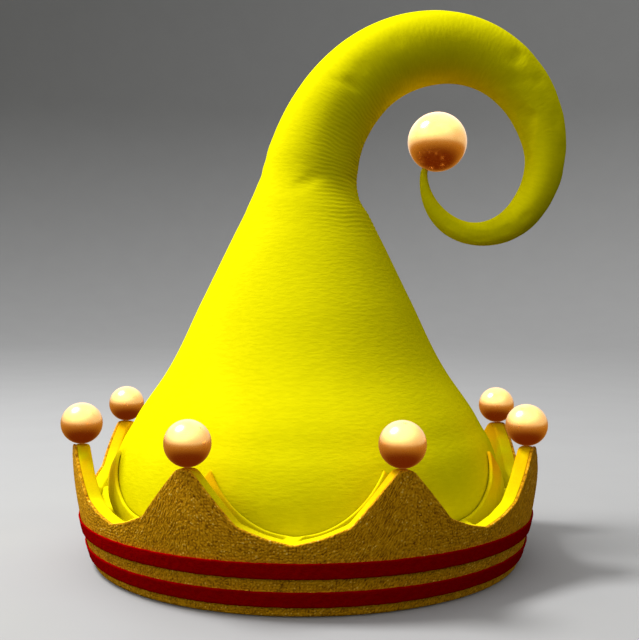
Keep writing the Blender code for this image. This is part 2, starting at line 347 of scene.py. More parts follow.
# %% Wires
class Wire:
    """One output in a node tree. Sums of wires and numbers add Math nodes.

    A wire without an output only adds nodes to its tree.
    """

    def __init__(self, tree, output=None):
        self.tree = tree
        self.output = output

    def node(self, kind, settings=None, values=None, output=0):
        """Add a node of a type, with its settings, then the values or wires of its sockets."""
        made = self.tree.nodes.new(kind)
        for name, value in (settings or {}).items():
            if name == "stops":
                made.color_ramp.elements[1].position = 1.0
                for _ in value[2:]:
                    made.color_ramp.elements.new(1.0)
                for element, (place, colour) in zip(made.color_ramp.elements, value):
                    element.position = place
                    element.color = rgb(*colour)
            else:
                setattr(made, name, value)
        for name, value in (values or {}).items():
            if isinstance(value, Wire):
                self.tree.links.new(value.output, made.inputs[name])
            else:
                made.inputs[name].default_value = value
        return Wire(self.tree, made.outputs[output])

    def sum(self, operation, first, second):
        """A Math node on two values."""
        return self.node("ShaderNodeMath", {"operation": operation}, {0: first, 1: second})

    def __add__(self, other):
        return self.sum("ADD", self, other)

    def __rsub__(self, other):
        return self.sum("SUBTRACT", other, self)

    def __mul__(self, other):
        return self.sum("MULTIPLY", self, other)

    __radd__ = __add__
    __rmul__ = __mul__

    def attribute(self, name, output="Fac"):
        """A named value of the mesh."""
        return self.node("ShaderNodeAttribute", {"attribute_name": name}, output=output)

    def place(self):
        """The place on the piece, in metres."""
        return self.node("ShaderNodeTexCoord", output="Object")

    def stretched(self, vector, sizes):
        """A vector counted in cells of these sizes along its three axes."""
        cells = tuple(1 / size for size in sizes)
        return self.node("ShaderNodeVectorMath", {"operation": "MULTIPLY"}, {0: vector, 1: cells})

    def noise(self, vector, scale=1.0, detail=2.0, roughness=0.5):
        """Soft noise, 0 to 1."""
        values = {"Vector": vector, "Scale": scale, "Detail": detail, "Roughness": roughness}
        return self.node("ShaderNodeTexNoise", None, values)

    def clear(self, low, high):
        """0 below low and 1 above high, with a smooth step between them."""
        values = {0: self, 1: low, 2: high, 3: 0.0, 4: 1.0}
        return self.node("ShaderNodeMapRange", {"interpolation_type": "SMOOTHSTEP"}, values)

    def mix(self, factor, first, second, blend="MIX"):
        """One colour over another by a factor."""
        values = {0: factor, 6: first, 7: second}
        return self.node("ShaderNodeMix", {"data_type": "RGBA", "blend_type": blend}, values, output=2)

    def bump(self, height, depth):
        """Normals of a relief whose height, 0 to 1, stands for depth metres."""
        return self.node("ShaderNodeBump", None, {"Strength": 1.0, "Distance": depth, "Height": height})


def finish(name, sockets, paint):
    """A Principled material: plain numbers on its sockets, then what paint returns for the rest."""
    made = bpy.data.materials.new(name)
    made.use_nodes = True
    tree = made.node_tree
    shader = tree.nodes["Principled BSDF"]
    for socket, value in {**sockets, **paint(Wire(tree))}.items():
        if isinstance(value, Wire):
            tree.links.new(value.output, shader.inputs[socket])
        else:
            shader.inputs[socket].default_value = value
    return made


def rgb(red, green, blue):
    """A colour for a socket."""
    return (red, green, blue, 1.0)


def grey(level):
    """An even grey for a socket."""
    return rgb(level, level, level)


print("wires are ready")

# %% [markdown]
# ## Yellow felt
# The hood is strong yellow felt with almost no blue in it. Close up, the fibres lie in very fine short
# ripples round the cone, about a millimetre apart. An image of felt would slide over the curled tail, so the
# ripples follow an attribute instead: where each point would be if the tail were straight. The grooves and
# the tail's folds are painted a little greener and darker than the ridges, as painted shade.

# %% Felt
FELT_RELIEF = 0.00009


def paint_felt(sheet):
    """Ripples, a short nap, a slow change of tone, and painted shade in the ripples' grooves and in the
    folds.
    """
    straight = sheet.attribute("straight", "Vector")
    ripple = sheet.noise(sheet.stretched(straight, (0.0044, 0.0044, 0.0013)), detail=2.0)
    nap = sheet.noise(straight, scale=1400.0, detail=2.0)
    tone = sheet.noise(straight, scale=32.0, detail=3.0)
    fold = sheet.attribute("fold")
    height = ripple.clear(0.3, 0.7) * 0.6 + nap * 0.4
    # painted shade: the colour is darker in the ripples' grooves and in the tail's folds; the slow tone and
    # the nap are the felt's own
    shade = (ripple.clear(0.3, 0.7) * 0.4 + nap * 0.25 + tone.clear(0.3, 0.7) * 0.35) * (1 - fold * 0.4)
    colour = sheet.mix(shade, rgb(0.66, 0.61, 0.0008), rgb(0.76, 0.70, 0.0016))
    normal = sheet.bump(height, FELT_RELIEF)
    return {"Base Color": colour, "Roughness": 0.95 - ripple * 0.1, "Normal": normal}


felt = finish("yellow felt", {"Specular IOR Level": 0.0}, paint_felt)
print("felt has", len(felt.node_tree.nodes), "nodes")

# %% [markdown]
# ## The hood
# One shell of felt: a cone that leans over into a tail. It could be a stack of rings bent by a
# curve modifier, but then the bends could not be set one by one. Here the centre line is worked
# out as arc after arc, and a ring is set square to it at each length. The felt on the inner side
# of the tight bends is pushed together into small folds, as in any stuffed tail.

# %% Hood outline
def smooth(at, stations, values):
    """Cubic curve through values at the stations, with its slope at each taken from its neighbours."""
    slopes = np.gradient(values, stations)
    left = np.clip(np.searchsorted(stations, at, side="right") - 1, 0, len(stations) - 2)
    width = stations[left + 1] - stations[left]
    t = (at - stations[left]) / width
    from_left = (2 * t**3 - 3 * t**2 + 1) * values[left] + (t**3 - 2 * t**2 + t) * width * slopes[left]
    from_right = (3 * t**2 - 2 * t**3) * values[left + 1] + (t**3 - t**2) * width * slopes[left + 1]
    return from_left + from_right


def hood_outline():
    """Lengths along the hood's centre line and the outer radii there, a row for each table row."""
    lengths = [CONE_HEIGHT * row.height for row in CONE]
    radii = [HOOD_RADIUS * row.radius - HOOD_TUCK * row.tuck for row in CONE]
    for bend in CURL:
        lengths.append(lengths[-1] + CURL_BEND * bend.bend * math.radians(bend.sweep))
        radii.append(HOOD_RADIUS * bend.radius)
    return np.array(lengths), np.array(radii)


def hood_radius(length):
    """Outer radius of the hood at lengths along its centre line."""
    lengths, radii = hood_outline()
    return smooth(length, lengths, radii)


def hood_line(length):
    """Across, up and heading of the centre line at lengths from the foot.

    Upright in the cone, then arcs: each bend keeps its own centre and starts along the last one.
    """
    across, up, heading = 0 * length, length.copy(), 0 * length
    start, start_across, start_up, start_heading = CONE_HEIGHT, 0.0, CONE_HEIGHT, 0.0
    for bend in CURL:
        reach = CURL_BEND * bend.bend
        sweep = math.radians(bend.sweep)
        here = length > start
        turned = start_heading + (length - start) / reach
        centre_across = start_across + reach * math.cos(start_heading)
        centre_up = start_up - reach * math.sin(start_heading)
        across = np.where(here, centre_across - reach * np.cos(turned), across)
        up = np.where(here, centre_up + reach * np.sin(turned), up)
        heading = np.where(here, turned, heading)
        start += reach * sweep
        start_heading += sweep
        start_across = centre_across - reach * math.cos(start_heading)
        start_up = centre_up + reach * math.sin(start_heading)
    return across, up, heading


outline_lengths, _ = hood_outline()
TAIL_END = float(outline_lengths[-1])
HOLLOW_END = float(outline_lengths[len(CONE) + HOLLOW_BENDS - 1])
end_across, _, end_heading = (float(value[0]) for value in hood_line(np.array([TAIL_END])))
tip_low, tip_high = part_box("tip_ball")
TIP_REACH = TIP_BALL_RADIUS + SEAT_GAP
HAT_ACROSS = (tip_low.x + tip_high.x) / 2 - (end_across + TIP_REACH * math.sin(end_heading))
print("the tail ends after", round(TAIL_END, 3), "m; the hood's middle is at x =", round(HAT_ACROSS, 5))

# %% Hood folds
FOLD_PITCH = 0.0023
FOLD_DEPTH = 0.00040
FOLD_FROM = 0.158
FOLD_TO = 0.275
FOLD_GROW = 0.02
FOLD_FADE = 0.03


def hood_folds(length, turn):
    """Depth of the felt's folds, in metres, and how deep in one a point lies, 0 to 1, which the felt's
    colour darkens as painted shade.

    A sine along the centre line, strongest on the inner side of the bends and fading out round the
    tail and at both ends of the bent stretch. A slow wander bends the folds and breaks them up.
    """
    share = turn / (2 * math.pi)
    inner = np.clip(np.cos(turn) * 0.85 + 0.15, 0, 1)
    grow = ease((length - FOLD_FROM) / FOLD_GROW)
    stretch = grow * (1 - ease((length - FOLD_TO + FOLD_FADE) / FOLD_FADE))
    along = length / TAIL_END
    strength = inner * stretch * (0.65 + 0.35 * wander(share, along, 14, 60, seed=4))
    phase = 2 * math.pi * (length / FOLD_PITCH + 0.55 * wander(share, along, 18, 40, seed=5))
    wave = 0.5 - 0.5 * np.cos(phase)
    return FOLD_DEPTH * strength * wave, strength * wave


# %% [markdown]
# ## Stuffing the tail
# Wadding never fills a tail evenly: the felt swells where it is slack and gives in beside the bends.
# A coarse skin of the tail, its felt cut a little large, is blown up as cloth with its lower end held. The
# simulation also bends the tail as a whole, which the photo doesn't show, so each ring's own shift is left
# out, and so are its finest waves. What remains is capped at a fraction of a millimetre: the simulation says
# where the felt swells, and the cap says how far.

# %% Simulated swelling
HOOD_COLUMNS = 192
SKIN_COLUMNS = 40
SKIN_ROWS = 100
SKIN_FROM = 0.130
SKIN_WAVES = 8
HELD_ROWS = 3
CLOTH_PRESSURE = 4.0
CLOTH_SLACK = 0.05
CLOTH_MASS = 0.05
CLOTH_QUALITY = 6
CLOTH_STEPS = 20
SWELL_CAP = 0.0007
SWELL_SHARE = 0.05
SWELL_FADE = 0.035


def tail_skin(length):
    """Coarse rings of the tail, p = middle + r outward, and the way outward at each point."""
    across, up, heading = (value[:, None] for value in hood_line(length))
    turn = np.linspace(0.0, 2 * math.pi, SKIN_COLUMNS, endpoint=False)[None, :]
    outward = np.stack([
        np.cos(turn) * np.cos(heading),
        np.sin(turn) + 0 * heading,
        -np.cos(turn) * np.sin(heading),
    ], axis=2)
    middle = np.stack([HAT_ACROSS + across, 0 * across, up], axis=2)
    return middle + hood_radius(length)[:, None, None] * outward, outward


def blown_up(rings):
    """The rings after a cloth simulation with pressure inside and no gravity, the first rows held."""
    poles = np.stack([rings[0].mean(axis=0), rings[-1].mean(axis=0)])
    mesh = ring_mesh("tail_skin", rings, poles)
    skin = bpy.data.objects.new("tail_skin", mesh)
    bpy.context.collection.objects.link(skin)
    held = skin.vertex_groups.new(name="held")
    held.add([*range(HELD_ROWS * SKIN_COLUMNS), SKIN_ROWS * SKIN_COLUMNS], 1.0, "REPLACE")
    cloth = skin.modifiers.new("wadding", "CLOTH").settings
    cloth.quality = CLOTH_QUALITY
    cloth.mass = CLOTH_MASS
    cloth.use_pressure = True
    cloth.uniform_pressure_force = CLOTH_PRESSURE
    cloth.shrink_min = -CLOTH_SLACK
    cloth.vertex_group_mass = "held"
    cloth.effector_weights.gravity = 0.0
    for step in range(1, CLOTH_STEPS + 1):
        bpy.context.scene.frame_set(step)
    blown = skin.evaluated_get(bpy.context.evaluated_depsgraph_get()).data
    points = np.empty(len(blown.vertices) * 3, np.float32)
    blown.vertices.foreach_get("co", points)
    bpy.context.scene.frame_set(1)
    bpy.data.objects.remove(skin)
    bpy.data.meshes.remove(mesh)
    return points.reshape(-1, 3)[:SKIN_ROWS * SKIN_COLUMNS].reshape(rings.shape)


skin_length = np.linspace(SKIN_FROM, TAIL_END, SKIN_ROWS)
skin_rings, skin_outward = tail_skin(skin_length)
moved = ((blown_up(skin_rings) - skin_rings) * skin_outward).sum(axis=2)
waves = np.fft.rfft(moved, axis=1)
waves[:, 1] = 0
waves[:, SKIN_WAVES:] = 0
swollen = np.fft.irfft(waves, n=HOOD_COLUMNS, axis=1) * HOOD_COLUMNS / SKIN_COLUMNS
print("simulated: the skin moved by", round(float(np.abs(moved).max()) * 1000, 2), "mm at most, and",
      round(float(np.abs(swollen).max()) * 1000, 2), "mm without the shift of whole rings")


def hood_swell(length):
    """Swelling at lengths and at the hood's columns: c tanh(s / c), where c caps the simulated s.

    It starts one fade above the skin's foot, because the held rows crease the felt next to them.
    """
    at = np.clip(length, SKIN_FROM, TAIL_END)
    swell = np.stack([smooth(at, skin_length, column) for column in swollen.T], axis=1)
    cap = np.minimum(SWELL_CAP, SWELL_SHARE * hood_radius(length))[:, None]
    fade = ease((length - SKIN_FROM) / SWELL_FADE - 1) * ease((TAIL_END - length) / SWELL_FADE)
    return cap * np.tanh(swell / cap) * fade[:, None]


# %% [markdown]
# ## The whole shell
# The rows of the hood run down the inside of the hollow and, past the hem, up the outside to the
# tip. Rows lie closest where the folds are. The felt keeps its thickness, so the swelling moves
# the inner side and the outer side alike.

# %% Rings of the hood
HOOD_SLACK = 0.0035
ROWS_BELOW_FOLDS = 70
ROWS_IN_FOLDS = 240
ROWS_ABOVE_FOLDS = 130
ROWS_INSIDE = 50


def hood_rings(length, inset, folded):
    """Rings round the centre line, their places on a straight tail, and how deep in a fold they lie, which
    darkens the felt as painted shade.

    out = r cos(turn) lies in the curl's plane and back = r sin(turn) across it.
    """
    across, up, heading = (value[:, None] for value in hood_line(length))
    turn = np.linspace(0.0, 2 * math.pi, HOOD_COLUMNS, endpoint=False)[None, :]
    radius = hood_radius(length)[:, None] - inset + hood_swell(length)
    depth, mark = hood_folds(length[:, None], turn)
    slack = wander(turn / (2 * math.pi), length[:, None] / TAIL_END, 7, 12, seed=6)
    radius = radius * (1 + HOOD_SLACK * slack) - depth * folded
    out, back = radius * np.cos(turn), radius * np.sin(turn)
    sideways = HAT_ACROSS + across + out * np.cos(heading)
    rings = np.stack([sideways, back, up - out * np.sin(heading)], axis=2)
    straight = np.stack([out, back, length[:, None] + 0 * out], axis=2)
    return rings, straight, mark * folded


def make_hood():
    """Felt round a hollow, then wadding: down the inside, round the hem and out to the tail's tip."""
    outer_length = np.concatenate([
        np.linspace(0, FOLD_FROM, ROWS_BELOW_FOLDS, endpoint=False),
        np.linspace(FOLD_FROM, FOLD_TO, ROWS_IN_FOLDS, endpoint=False),
        np.linspace(FOLD_TO, TAIL_END, ROWS_ABOVE_FOLDS),
    ])
    inner_length = np.linspace(HOLLOW_END, 0, ROWS_INSIDE)
    outer, outer_straight, outer_fold_shade = hood_rings(outer_length, 0.0, 1.0)
    inner, inner_straight, inner_fold_shade = hood_rings(inner_length, HOOD_FELT, 0.0)
    rings = np.concatenate([inner, outer])
    rings[:, :, 2] = np.maximum(rings[:, :, 2], FOOT_LIFT)
    poles = np.stack([inner[0].mean(axis=0), outer[-1].mean(axis=0)])
    straight = np.concatenate([inner_straight, outer_straight]).reshape(-1, 3)
    ends = np.array([(0, 0, HOLLOW_END), (0, 0, TAIL_END)])
    # how deep in a fold each point lies, which the felt paints darker as shade
    fold = np.concatenate([inner_fold_shade, outer_fold_shade]).ravel()
    marks = {"straight": np.concatenate([straight, ends]), "fold": np.concatenate([fold, [0, 0]])}
    return ring_mesh("hood_felt", rings, poles, marks)


hood = dress("hood_felt", make_hood(), felt, "yellow_felt", "hood")

# %% [markdown]
# ## The crown's walls
# The crown is a ring of four layers: the yellow lining round the hood, a padded band with eight
# points, gold cloth over the band and two ribbons on the cloth. Each is a closed section carried
# round the hat, whose upper edge climbs from the valleys to the points. The section has softly
# rounded lips, as a turned and sewn edge has, so its rows run up the outside, over and down again.

# %% Carrying a section round
EDGE_SOFTEN = 0.03
EDGE_SAMPLES = 9
NEAR_ZERO = 1e-6


def crown_way(turn):
    """How far a turn lies from a valley, 0, to a point, 1."""
    return 1 - np.abs((turn - CROWN_TURN) / (math.pi / POINTS) % 2 - 1)


def crown_edge(turn):
    """Height of the crown's edge: the climb from valley to point, averaged over a short way.

    The averaging rounds the knees of the climb.
    """
    climb = 0
    for shift in np.linspace(-EDGE_SOFTEN, EDGE_SOFTEN, EDGE_SAMPLES):
        folded = 1 - np.abs(1 - np.abs(crown_way(turn) + shift))
        step = np.interp(folded, [row.way for row in EDGE], [row.climb for row in EDGE])
        climb = climb + step / EDGE_SAMPLES
    return VALLEY_HEIGHT + (CROWN_HEIGHT - VALLEY_HEIGHT) * climb


def crown_inside(height):
    """Inner radius of the crown's band: the foot's radius plus a flare that is spent at the crown's top."""
    foot = HOOD_RADIUS - HOOD_TUCK + COLLAR_GAP + COLLAR_WIDTH + LAYER_GAP
    return foot + CROWN_FLARE * (1 - (1 - height / CROWN_HEIGHT) ** 2)


Section = namedtuple("Section", "side share lift")


def wall_section(outside, lip, inside, hem, squareness=3.0, outer_squareness=3.0):
    """Rows of a closed section: side from -1 inside to 1 outside, share of the height, lift into a lip.

    outside, lip, inside and hem are counts of rows. The lips are half superellipses,
    side = cos(a)^(2/n) and lift = sin(a)^(2/n), so a higher n is squarer. n is squareness on the
    inside of the wall and outer_squareness on its outside.
    """
    over = np.linspace(0, math.pi, lip + 2)
    under = np.linspace(math.pi, 2 * math.pi, hem + 2)
    angle = np.concatenate([np.zeros(outside), over[1:-1], np.full(inside, math.pi), under[1:-1]])
    power = 2 / np.where(np.cos(angle) > 0, outer_squareness, squareness)
    side = np.sign(np.cos(angle)) * np.abs(np.cos(angle)) ** power
    lift = np.sign(np.sin(angle)) * np.abs(np.sin(angle)) ** power
    lift = np.where(np.abs(np.sin(angle)) < NEAR_ZERO, 0, lift)
    rise, fall = np.linspace(0, 1, outside), np.linspace(1, 0, inside)
    share = np.concatenate([rise, np.ones(lip), fall, np.zeros(hem)])
    return Section(side, share, lift)


def wall_turns(columns):
    """Turns of a wall's columns, as one row."""
    return CROWN_TURN + np.linspace(0, 2 * math.pi, columns, endpoint=False)[None, :]


def wall_grid(section, foot, edge, lip, hem):
    """Height and side of every point of a wall, from the heights of its foot and its edge."""
    top = edge - lip
    bottom = foot + hem
    share, lift = section.share[:, None], section.lift[:, None]
    height = bottom + (top - bottom) * share + np.where(lift > 0, lift * lip, lift * hem)
    return height, section.side[:, None] + 0 * height


def pucker(turn, level, fine, broad, seed):
    """Sum of a fine wander and a broad one, each given as its cells round and its cells up."""
    share = turn / (2 * math.pi)
    return wander(share, level, *fine, seed=seed) + wander(share, level, *broad, seed=seed + 1)


def round_the_hat(turn, radius, height):
    """Points at a turn from the front, a radius and a height, round the hat's own middle."""
    return np.stack([HAT_ACROSS + radius * np.sin(turn), -radius * np.cos(turn), height], axis=2)


print("a valley is", VALLEY_HEIGHT, "m high and a point", CROWN_HEIGHT)

# %% [markdown]
# ## Yellow lining
# The lining is a smoother and brighter yellow than the hood. It is a brushed cloth with a fine grain and no
# shine. Up the points it is painted orange in patches, as painted shade: their turned edges look orange
# where they face away from the light.

# %% Lining cloth
LINING_RELIEF = 0.00010


def paint_lining(sheet):
    """Fine grain, orange painted shade in patches up the points and a soft weave relief."""
    place = sheet.place()
    grain = sheet.noise(place, scale=1100.0, detail=3.0, roughness=0.6)
    drift = sheet.noise(place, scale=60.0, detail=2.0)
    height = sheet.node("ShaderNodeSeparateXYZ", None, {0: place}, output=2)
    # painted shade: orange in patches towards the points' tops, standing in for the orange their turned
    # edges show in shade
    orange_shade = height.clear(VALLEY_HEIGHT, CROWN_HEIGHT) * drift.clear(0.3, 0.55)
    colour = sheet.mix(orange_shade, rgb(0.74, 0.66, 0.0010), rgb(0.78, 0.42, 0.0010))
    shade = 0.90 + grain * 0.2
    shading = sheet.node("ShaderNodeCombineColor", None, {0: shade, 1: shade, 2: shade})
    toned = sheet.mix(1.0, colour, shading, "MULTIPLY")
    normal = sheet.bump(grain, LINING_RELIEF)
    return {"Base Color": toned, "Roughness": 0.82 + grain * 0.12, "Normal": normal}


lining = finish("yellow lining", {"Specular IOR Level": 0.02}, paint_lining)
print("lining has", len(lining.node_tree.nodes), "nodes")

# %% [markdown]
# ## The inner collar
# Between the hood and the crown lies a padded roll of lining. It fills its room at the foot and in
# the valleys, and behind each point it steps back to a thin edge round the hood, which leaves an
# open pocket. Its upper edge is scalloped: low by the valleys and steep towards the points.

# %% Inner collar
COLLAR_COLUMNS = 640
COLLAR_LIP = 0.0014
COLLAR_HEM = 0.0008
COLLAR_PUCKER = 0.00035
WEDGE_START = 0.02
WEDGE_OPEN = 0.10
WEDGE_END = 0.34


def collar_edge(turn):
    """Height of the collar's edge: a power curve that stays low by the valley and steepens to the point."""
    return VALLEY_HEIGHT + (COLLAR_PEAK - VALLEY_HEIGHT) * crown_way(turn) ** COLLAR_SCALLOP


def pocket_bottom(turn):
    """Height of the pocket's bottom: a wedge that leaves the edge near the valley and sinks to the floor."""
    sink = ease((crown_way(turn) - WEDGE_START) / (WEDGE_END - WEDGE_START))
    return collar_edge(turn) + (POCKET_FLOOR - collar_edge(turn)) * sink


def make_collar():
    """The collar's outside is its room's outside, blended to a thin edge above the pocket's floor."""
    section = wall_section(outside=60, lip=9, inside=16, hem=4)
    turn = wall_turns(COLLAR_COLUMNS)
    height, side = wall_grid(section, FOOT_LIFT, collar_edge(turn), COLLAR_LIP, COLLAR_HEM)
    inner = hood_radius(height) + COLLAR_GAP
    room = crown_inside(height) - LAYER_GAP
    pocket = ease((height - pocket_bottom(turn) + POCKET_SLOPE) / POCKET_SLOPE)
    open_to = ease((crown_way(turn) - WEDGE_START) / (WEDGE_OPEN - WEDGE_START))
    outer = room + (inner + COLLAR_EDGE - room) * pocket * open_to
    puckered = pucker(turn, height / COLLAR_PEAK, (150, 8), (48, 5), seed=11)
    outward = np.clip(side, 0, 1)
    outer = outer - COLLAR_PUCKER * outward * (1 + puckered) / 2
    radius = inner + (outer - inner) * (side + 1) / 2
    return ring_mesh("collar_lining", round_the_hat(turn, radius, height))


collar = dress("collar_lining", make_collar(), lining, "yellow_lining", "inner_collar")

# %% [markdown]
# ## The padded band
# The crown itself is a quilted band of the same lining, six millimetres thick, that the whole hat
# stands on. Its upper edge is turned over and sewn, so it is rounded, and it puckers a little
# where the edge turns round the points and the valleys.

# %% Padded band
BAND_COLUMNS = 720
BAND_LIP = 0.0017
BAND_HEM = 0.0012
BAND_PUCKER = 0.0003
BAND_SWELL = 0.0002


def make_band():
    """An even wall inside the gold cloth, with a rounded upper edge that puckers slightly."""
    section = wall_section(outside=14, lip=13, inside=44, hem=5, squareness=2.6, outer_squareness=9.0)
    turn = wall_turns(BAND_COLUMNS)
    height, side = wall_grid(section, 0.0, crown_edge(turn), BAND_LIP, BAND_HEM)
    puckered = pucker(turn, height / CROWN_HEIGHT, (170, 9), (56, 6), seed=21)
    inward, outward = np.clip(-side, 0, 1), np.clip(side, 0, 1)
    radius = crown_inside(height) + BAND_PAD * (side + 1) / 2 + BAND_SWELL * outward
    radius = radius + BAND_PUCKER * inward * (1 + puckered) / 2
    return ring_mesh("band_padding", round_the_hat(turn, radius, height))


band = dress("band_padding", make_band(), lining, "yellow_lining", "crown_band")

# %% [markdown]
# ## Gold cloth
# The crown's outside is a coarse, pebbly cloth of dull gold. Each bump is about one and a half millimetres
# across: some are light and most are ochre. The bumps are real relief in the mesh, and the material reads
# their height and tone: the gaps between the bumps are painted dark brown, as painted shade, and each bump's
# tone differs at random. Noise adds the finer crumbs that the mesh is too coarse for, and a few scattered
# light specks.

# %% Gold cloth and its bumps
FACE_COLUMNS = 1152
PEBBLE = 0.0014
PEBBLE_HEIGHT = 0.00018
PEBBLE_SUNK = 0.35
FACE_LIP = 0.0006
FACE_RELIEF = 0.00040
OUTERMOST = 0.99


def paint_gold_cloth(sheet):
    """Ochre bumps between gaps painted dark as shade, with light specks."""
    place = sheet.place()
    crumb = sheet.noise(place, scale=1100.0, detail=3.0, roughness=0.6)
    patch = sheet.noise(place, scale=150.0, detail=2.0)
    away = sheet.node("ShaderNodeTexVoronoi", None, {"Vector": place, "Scale": 620.0})
    speck = (1 - away.clear(0.10, 0.38)) * patch.clear(0.38, 0.58)
    grain, tone = sheet.attribute("grain"), sheet.attribute("tone")
    # painted shade: where grain, the bumps' height, falls to 0 between the bumps, the colour goes dark brown
    level = grain * 0.26 + tone * 0.14 + crumb * 0.54 + speck * 0.30
    stops = [
        (0.24, (0.18, 0.062, 0.001)),
        (0.42, (0.58, 0.262, 0.002)),
        (0.60, (0.76, 0.372, 0.004)),
        (0.80, (0.95, 0.61, 0.100)),
    ]
    colour = sheet.node("ShaderNodeValToRGB", {"stops": stops}, {"Fac": level})
    relief = grain * 0.35 + crumb * 0.45 + speck * 0.2
    return {"Base Color": colour, "Roughness": 0.8 - tone * 0.15, "Normal": sheet.bump(relief, FACE_RELIEF)}


gold_cloth = finish("gold cloth", {"Specular IOR Level": 0.06}, paint_gold_cloth)


def face_radius(height, side):
    """Radius in the gold cloth, from its inner side, -1, to its outer side, 1."""
    return crown_inside(height) + BAND_PAD + LAYER_GAP + FACE_CLOTH * (side + 1) / 2


def make_face():
    """The band's outside once more, a cloth's thickness thick, with bumps on its outer side."""
    section = wall_section(outside=72, lip=4, inside=4, hem=2)
    turn = wall_turns(FACE_COLUMNS)
    height, side = wall_grid(section, FOOT_LIFT, crown_edge(turn), FACE_LIP, FACE_LIP)
    around = round(2 * math.pi * face_radius(CROWN_HEIGHT / 2, 1.0) / PEBBLE)
    upward = round(CROWN_HEIGHT / PEBBLE)
    grain, tone = pebbles(turn / (2 * math.pi), height / CROWN_HEIGHT, around, upward, seed=31)
    radius = face_radius(height, side) + PEBBLE_HEIGHT * (grain - PEBBLE_SUNK) * (side > OUTERMOST)
    # grain is the bumps' height; the material also paints the gaps between bumps dark with it, as shade
    marks = {"grain": grain.ravel(), "tone": tone.ravel()}
    return ring_mesh("face_cloth", round_the_hat(turn, radius, height), marks=marks)


face = dress("face_cloth", make_face(), gold_cloth, "gold_cloth", "crown_face")

# %% [markdown]
# ## Red ribbons
# Two dark red ribbons run round the crown, sewn flat on the gold cloth. The cloth's bumps press
# through them and make their edges slightly uneven. Each ribbon is a thin section carried round.

# %% Ribbons
RIBBON_COLUMNS = 1152
RIBBON_RAGGED = 0.00010
RIBBON_PRESSED = 0.00010
RIBBON_LIP = 0.0003
RIBBON_OUTSIDE = 0.9
RIBBON_RELIEF = 0.00010


def paint_ribbon(sheet):
    """Dark red with a fine cross rib and small darker spots over the cloth's bumps."""
    place = sheet.place()
    rib = sheet.noise(sheet.stretched(place, (0.0011, 0.0011, 0.0006)), detail=3.0)
    spot = sheet.noise(place, scale=520.0, detail=2.0)
    level = rib.clear(0.3, 0.7) * 0.5 + spot.clear(0.3, 0.7) * 0.5
    colour = sheet.mix(level, rgb(0.29, 0.0003, 0.0006), rgb(0.38, 0.0006, 0.0010))
    return {"Base Color": colour, "Roughness": 0.9 - rib * 0.1, "Normal": sheet.bump(level, RIBBON_RELIEF)}


ribbon = finish("red ribbon", {"Specular IOR Level": 0.0}, paint_ribbon)


def ragged(share, seed):
    """How far a ribbon's edge falls short of its line, never above 0, along its way round."""
    return RIBBON_RAGGED * (wander(share, 0 * share, 430, 1, seed) - 1)


def make_ribbon(name, low, seed):
    """A ribbon from low upwards: its edges wander, and its outside follows the bumps below it."""
    section = wall_section(outside=9, lip=2, inside=3, hem=2)
    turn = wall_turns(RIBBON_COLUMNS)
    share = turn / (2 * math.pi)
    foot = low - ragged(share, seed + 1)
    edge = low + STRIPE_WIDTH + ragged(share, seed + 2)
    height, side = wall_grid(section, foot, edge, RIBBON_LIP, RIBBON_LIP)
    pressed = wander(share, (height - low) / STRIPE_WIDTH, 400, 4, seed + 3)
    inner = crown_inside(height) + BAND_PAD + LAYER_GAP + FACE_CLOTH + LAYER_GAP
    radius = inner + RIBBON * (side + 1) / 2 + RIBBON_PRESSED * pressed * (side > RIBBON_OUTSIDE)
    return ring_mesh(name, round_the_hat(turn, radius, height))


lower_mesh = make_ribbon("ribbon_lower", STRIPE_MARGIN, seed=41)
lower = dress("ribbon_lower", lower_mesh, ribbon, "red_ribbon", "stripe_lower")
upper_mesh = make_ribbon("ribbon_upper", STRIPE_MARGIN + STRIPE_WIDTH + STRIPE_SPACING, seed=51)
upper = dress("ribbon_upper", upper_mesh, ribbon, "red_ribbon", "stripe_upper")

# %% Cut size of the gold cloth
turns = CROWN_TURN + np.linspace(0, 2 * math.pi, FACE_COLUMNS, endpoint=False)
cut_heights = crown_edge(turns) - FOOT_LIFT
cut_radii = face_radius(cut_heights / 2, 0.0)
cut_area = float(np.mean(cut_heights * 2 * math.pi * cut_radii))

# %% [markdown]
# ## Satin gold balls
# A ball of copper gold metal sits on each point and a larger one ends the tail. They are polished,
# so they mirror the bright canopy above and the warm brown below. A lathed sphere is right for them,
# but a perfect one looks like glass: real stamped balls are a little uneven, so the surface
# wanders by a few hundredths of a millimetre and the polish changes in soft patches.

# %% Ball metal
SCRATCH_DEPTH = 0.000004


def paint_ball(sheet):
    """Copper gold with soft patches of a duller polish and hairline scratches."""
    place = sheet.place()
    patch = sheet.noise(place, scale=160.0, detail=3.0)
    scratch = sheet.noise(sheet.stretched(place, (0.0040, 0.0040, 0.0003)), detail=2.0)
    colour = sheet.mix(patch.clear(0.3, 0.75), rgb(0.92, 0.52, 0.17), rgb(0.89, 0.46, 0.13))
    dull = patch.clear(0.35, 0.8) * 0.05 + scratch.clear(0.55, 0.8) * 0.03
    return {"Base Color": colour, "Roughness": 0.26 + dull, "Normal": sheet.bump(scratch, SCRATCH_DEPTH)}


ball_metal = finish("satin gold", {"Metallic": 1.0}, paint_ball)

# %% Balls
BALL_COLUMNS = 72
BALL_ROWS = 35
BALL_UNEVEN = 0.0022


